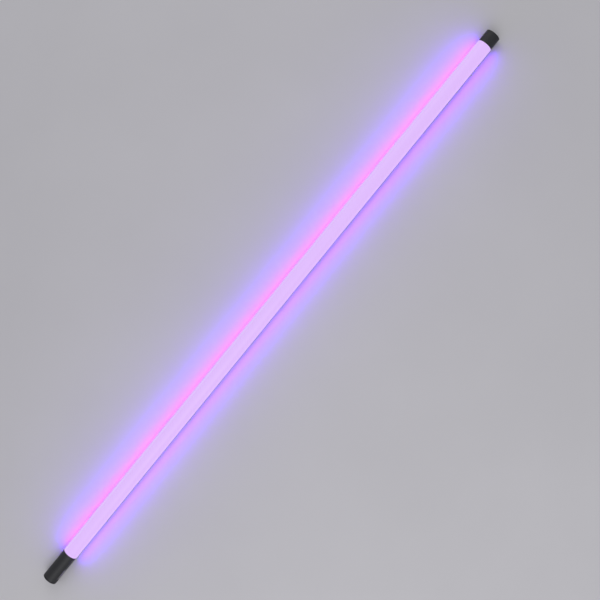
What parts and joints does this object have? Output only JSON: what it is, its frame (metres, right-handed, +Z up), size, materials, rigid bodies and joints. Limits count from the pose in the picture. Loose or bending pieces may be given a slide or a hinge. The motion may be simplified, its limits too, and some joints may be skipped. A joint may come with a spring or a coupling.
{
  "type": "led light tube",
  "caption": "Long round battery LED light tube with a frosted lit cover on a flat-footed aluminium back, end caps, side control panel and folding hanging bail.",
  "frame": {"origin": "under the middle of the tube, on the surface that its flat foot rests on", "axes": "+X along the tube from the control end to the tail end, +Z up, towards the lit side, -Y towards the control panel"},
  "size_m": [2.026, 0.044, 0.0425],
  "materials": {
    "frosted_cover": "frosted opal polycarbonate, lit from inside",
    "anodised_spine": "black anodised extrusion",
    "cap_plastic": "fine moulded texture",
    "end_plates": "black anodised, turned",
    "gaskets": "moulded silicone",
    "steel": "turned stainless steel",
    "screws": "black oxide",
    "white_board": "white solder mask",
    "led_chips": "clear resin over RGB dies",
    "green_board": "green solder mask",
    "components": "moulded packages",
    "connectors": "ivory nylon",
    "cells": "laminated pouch foil",
    "nickel": "nickel strip",
    "foam": "closed-cell foam",
    "thermal_tape": "ceramic-filled tape",
    "wires": "silicone insulation",
    "bezel": "semi-gloss moulded",
    "window": "smoked acrylic",
    "display": "display panel",
    "buttons": "matte silicone keys",
    "flap": "soft-touch elastomer",
    "shield": "tinned shield can"
  },
  "bodies": {
    "tube": {"diffuser": "frosted_cover", "spine": "anodised_spine", "control_gasket": "gaskets", "tail_gasket": "gaskets", "thermal_tapes": "thermal_tape", "board_screws": "steel", "board_connectors": "connectors", "battery_foam": "foam", "battery_cells": "cells", "cell_links": "nickel", "battery_board": "green_board", "battery_board_parts": "components", "battery_leads": "wires", "led_leads": "wires", "control_cap": "cap_plastic", "tail_cap": "cap_plastic", "control_end_plate": "end_plates", "tail_end_plate": "end_plates", "control_insert": "steel", "tail_insert": "steel", "control_frame_screws": "steel", "tail_frame_screws": "steel", "control_plate_screws": "screws", "tail_plate_screws": "screws", "panel_bezel": "bezel", "display_window": "window", "display_module": "display", "switches": "components", "control_board": "green_board", "control_board_screws": "steel", "radio_module": "shield", "driver_board": "green_board", "driver_parts": "components", "charge_socket": "components", "data_socket": "steel", "flap_pin": "steel", "led_board_1": "white_board", "led_chips_1": "led_chips", "led_board_2": "white_board", "led_chips_2": "led_chips", "led_board_3": "white_board", "led_chips_3": "led_chips", "led_board_4": "white_board", "led_chips_4": "led_chips"},
    "power_button": {"power_button": "buttons"},
    "menu_button": {"menu_button": "buttons"},
    "up_button": {"up_button": "buttons"},
    "down_button": {"down_button": "buttons"},
    "flap": {"port_flap": "flap"},
    "bail": {"hanging_bail": "steel"}
  },
  "joints": [
    {"name": "power_press", "type": "slide", "parent": "tube", "child": "power_button", "axis": [0, 1, 0], "range_m": [0, 0.0006], "stiffness_N_per_m": 2000, "springref_m": -0.0005},
    {"name": "menu_press", "type": "slide", "parent": "tube", "child": "menu_button", "axis": [0, 1, 0], "range_m": [0, 0.0006], "stiffness_N_per_m": 2000, "springref_m": -0.0005},
    {"name": "up_press", "type": "slide", "parent": "tube", "child": "up_button", "axis": [0, 1, 0], "range_m": [0, 0.0006], "stiffness_N_per_m": 2000, "springref_m": -0.0005},
    {"name": "down_press", "type": "slide", "parent": "tube", "child": "down_button", "axis": [0, 1, 0], "range_m": [0, 0.0006], "stiffness_N_per_m": 2000, "springref_m": -0.0005},
    {"name": "flap_hinge", "type": "hinge", "parent": "tube", "child": "flap", "pos_m": [-0.96, 0.01835, 0.0261], "axis": [1, 0, 0], "range_deg": [0, 100]},
    {"name": "bail_hinge", "type": "hinge", "parent": "tube", "child": "bail", "pos_m": [1.0082, 0, 0.0205], "axis": [0, -1, 0], "range_deg": [0, 180]}
  ]
}
